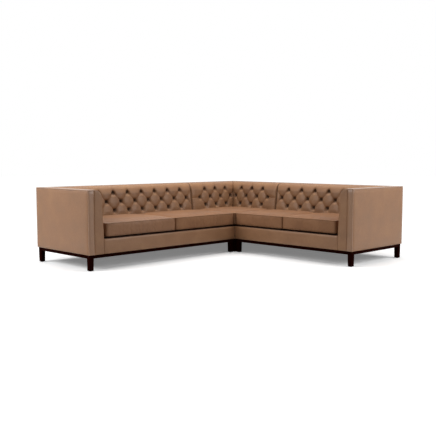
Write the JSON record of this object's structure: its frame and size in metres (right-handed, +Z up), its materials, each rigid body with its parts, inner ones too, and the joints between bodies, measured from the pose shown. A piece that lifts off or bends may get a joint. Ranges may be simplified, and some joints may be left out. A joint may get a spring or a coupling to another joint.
{
  "type": "corner sofa",
  "caption": "Modular corner sofa in brown leather, with a diamond-tufted button back, level arms, loose boxed seat cushions and tapered wooden legs on a plinth.",
  "frame": {"origin": "on the floor under the middle of the L's bounding box", "axes": "+Z up, +X along the long wing towards the corner module, +Y towards the back of the long wing"},
  "size_m": [2.8, 2.425, 0.74],
  "materials": {
    "shell_leather": "corrected-grain leather, taupe brown, satin",
    "tufted_leather": "corrected-grain leather, tufted, satin",
    "seat_leather": "corrected-grain leather, satin",
    "button_leather": "covered buttons in the same leather",
    "stained_wood": "espresso stain, satin lacquer",
    "timber_frame": "planed softwood",
    "spring_steel": "oil-tempered wire",
    "plated_steel": "zinc plated",
    "nylon_glide": "moulded nylon",
    "deck_cloth": "woven deck cloth over a thin foam",
    "dust_cloth": "spun-bonded cloth"
  },
  "bodies": {
    "corner_module": {"corner_back_buttons": "button_leather", "corner_back_frame": "timber_frame", "corner_border_band": "shell_leather", "corner_connector_sockets": "plated_steel", "corner_dust_cover": "dust_cloth", "corner_end_panels": "shell_leather", "corner_inside_backs": "tufted_leather", "corner_leg_bolts": "plated_steel", "corner_leg_glides": "nylon_glide", "corner_legs": "stained_wood", "corner_outside_backs": "shell_leather", "corner_plinth_rails": "stained_wood", "corner_seat_deck": "deck_cloth", "corner_seat_frame": "timber_frame", "corner_seat_springs": "spring_steel"},
    "left_module": {"left_arm_facing": "shell_leather", "left_arm_frame": "timber_frame", "left_back_buttons": "button_leather", "left_back_frame": "timber_frame", "left_border_band": "shell_leather", "left_connector_tongues": "plated_steel", "left_dust_cover": "dust_cloth", "left_end_panel": "shell_leather", "left_front_rail_cover": "shell_leather", "left_inside_arm": "shell_leather", "left_inside_back": "tufted_leather", "left_leg_bolts": "plated_steel", "left_leg_glides": "nylon_glide", "left_legs": "stained_wood", "left_outside_arm": "shell_leather", "left_outside_back": "shell_leather", "left_plinth_rails": "stained_wood", "left_seat_deck": "deck_cloth", "left_seat_frame": "timber_frame", "left_seat_springs": "spring_steel"},
    "right_module": {"right_arm_facing": "shell_leather", "right_arm_frame": "timber_frame", "right_back_buttons": "button_leather", "right_back_frame": "timber_frame", "right_border_band": "shell_leather", "right_connector_tongues": "plated_steel", "right_dust_cover": "dust_cloth", "right_end_panel": "shell_leather", "right_front_rail_cover": "shell_leather", "right_inside_arm": "shell_leather", "right_inside_back": "tufted_leather", "right_leg_bolts": "plated_steel", "right_leg_glides": "nylon_glide", "right_legs": "stained_wood", "right_outside_arm": "shell_leather", "right_outside_back": "shell_leather", "right_plinth_rails": "stained_wood", "right_seat_deck": "deck_cloth", "right_seat_frame": "timber_frame", "right_seat_springs": "spring_steel"},
    "left_seat_cushion_outer": {"left_seat_cushion_outer": "seat_leather"},
    "left_seat_cushion_inner": {"left_seat_cushion_inner": "seat_leather"},
    "corner_seat_cushion": {"corner_seat_cushion": "seat_leather"},
    "right_seat_cushion_inner": {"right_seat_cushion_inner": "seat_leather"},
    "right_seat_cushion_outer": {"right_seat_cushion_outer": "seat_leather"}
  },
  "joints": [
    {"name": "left_module_slide", "type": "slide", "parent": "corner_module", "child": "left_module", "axis": [-1, 0, 0], "range_m": [0, 0.5]},
    {"name": "right_module_slide", "type": "slide", "parent": "corner_module", "child": "right_module", "axis": [0, -1, 0], "range_m": [0, 0.5]},
    {"name": "left_seat_cushion_outer_lift", "type": "slide", "parent": "left_module", "child": "left_seat_cushion_outer", "axis": [0, 0, 1], "range_m": [0, 0.4]},
    {"name": "left_seat_cushion_inner_lift", "type": "slide", "parent": "left_module", "child": "left_seat_cushion_inner", "axis": [0, 0, 1], "range_m": [0, 0.4]},
    {"name": "corner_seat_cushion_lift", "type": "slide", "parent": "corner_module", "child": "corner_seat_cushion", "axis": [0, 0, 1], "range_m": [0, 0.4]},
    {"name": "right_seat_cushion_inner_lift", "type": "slide", "parent": "right_module", "child": "right_seat_cushion_inner", "axis": [0, 0, 1], "range_m": [0, 0.4]},
    {"name": "right_seat_cushion_outer_lift", "type": "slide", "parent": "right_module", "child": "right_seat_cushion_outer", "axis": [0, 0, 1], "range_m": [0, 0.4]}
  ]
}
